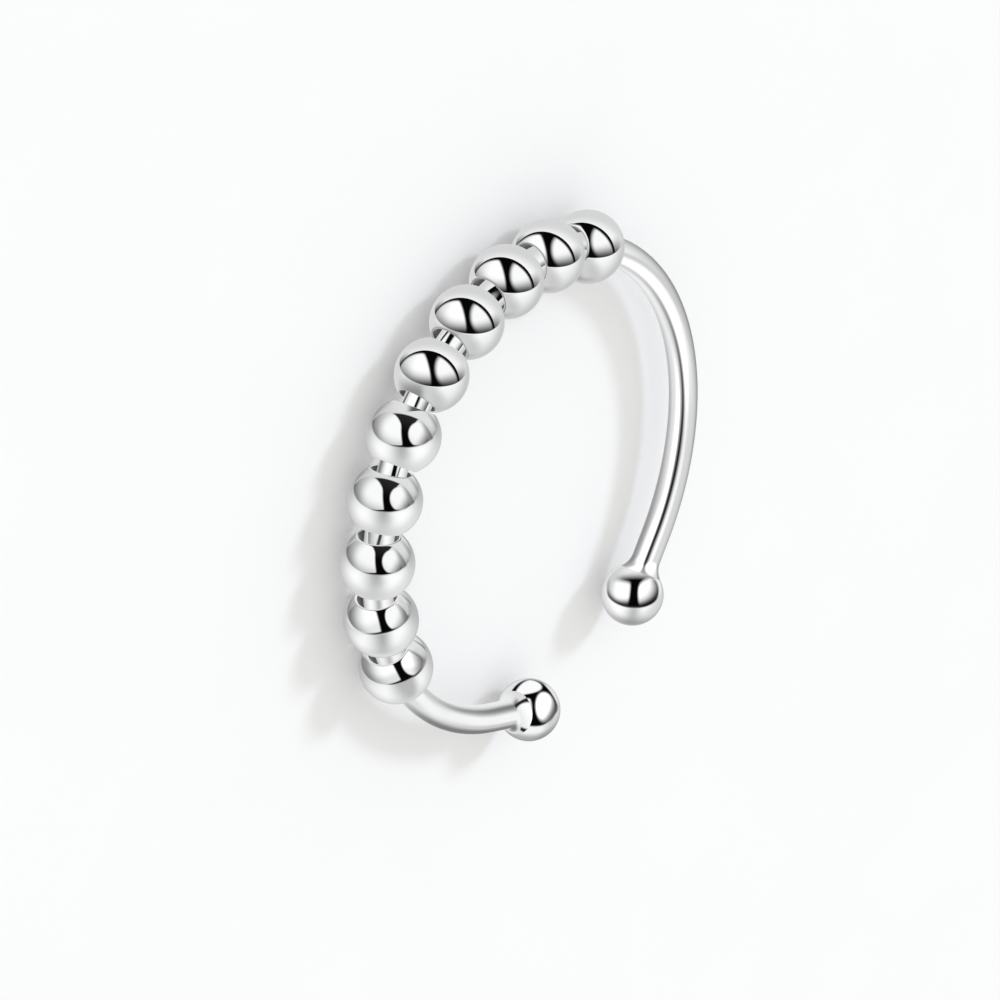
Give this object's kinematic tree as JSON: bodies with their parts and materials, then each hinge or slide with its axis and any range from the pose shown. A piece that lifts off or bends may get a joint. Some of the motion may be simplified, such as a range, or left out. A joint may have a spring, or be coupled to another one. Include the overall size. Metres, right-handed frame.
{
  "type": "spinner ring",
  "caption": "Open finger ring of round silver wire with a soldered ball at each end and loose round beads that slide and spin along the wire.",
  "frame": {"origin": "centre of the circle that the wire's centre line follows, in the plane of the wire", "axes": "+Z along the finger, -Y towards the opening between the two ball ends, +X towards the right ball end; the beads rest on the -X and +Y side"},
  "size_m": [0.022, 0.0224, 0.003],
  "materials": {
    "band_silver": "mirror-polished sterling silver wire with soldered balls",
    "bead_silver": "mirror-polished sterling silver bead"
  },
  "bodies": {
    "band": {"band": "band_silver"},
    "bead_01": {"bead_01": "bead_silver"},
    "bead_02": {"bead_02": "bead_silver"},
    "bead_03": {"bead_03": "bead_silver"},
    "bead_04": {"bead_04": "bead_silver"},
    "bead_05": {"bead_05": "bead_silver"},
    "bead_06": {"bead_06": "bead_silver"},
    "bead_07": {"bead_07": "bead_silver"},
    "bead_08": {"bead_08": "bead_silver"},
    "bead_09": {"bead_09": "bead_silver"},
    "bead_10": {"bead_10": "bead_silver"}
  },
  "joints": [
    {"name": "row_slide", "type": "hinge", "parent": "band", "child": "bead_10", "pos_m": [0, 0, 0], "axis": [0, 0, 1], "range_deg": [-50, 45.5]},
    {"name": "bead_09_slide", "type": "hinge", "parent": "bead_10", "child": "bead_09", "pos_m": [0, 0, 0], "axis": [0, 0, -1], "range_deg": [0, 6]},
    {"name": "bead_08_slide", "type": "hinge", "parent": "bead_09", "child": "bead_08", "pos_m": [0, 0, 0], "axis": [0, 0, -1], "range_deg": [0, 6]},
    {"name": "bead_07_slide", "type": "hinge", "parent": "bead_08", "child": "bead_07", "pos_m": [0, 0, 0], "axis": [0, 0, -1], "range_deg": [0, 6]},
    {"name": "bead_06_slide", "type": "hinge", "parent": "bead_07", "child": "bead_06", "pos_m": [0, 0, 0], "axis": [0, 0, -1], "range_deg": [0, 6]},
    {"name": "bead_05_slide", "type": "hinge", "parent": "bead_06", "child": "bead_05", "pos_m": [0, 0, 0], "axis": [0, 0, -1], "range_deg": [0, 6]},
    {"name": "bead_04_slide", "type": "hinge", "parent": "bead_05", "child": "bead_04", "pos_m": [0, 0, 0], "axis": [0, 0, -1], "range_deg": [0, 6]},
    {"name": "bead_03_slide", "type": "hinge", "parent": "bead_04", "child": "bead_03", "pos_m": [0, 0, 0], "axis": [0, 0, -1], "range_deg": [0, 6]},
    {"name": "bead_02_slide", "type": "hinge", "parent": "bead_03", "child": "bead_02", "pos_m": [0, 0, 0], "axis": [0, 0, -1], "range_deg": [0, 6]},
    {"name": "bead_01_slide", "type": "hinge", "parent": "bead_02", "child": "bead_01", "pos_m": [0, 0, 0], "axis": [0, 0, -1], "range_deg": [0, 6]}
  ]
}
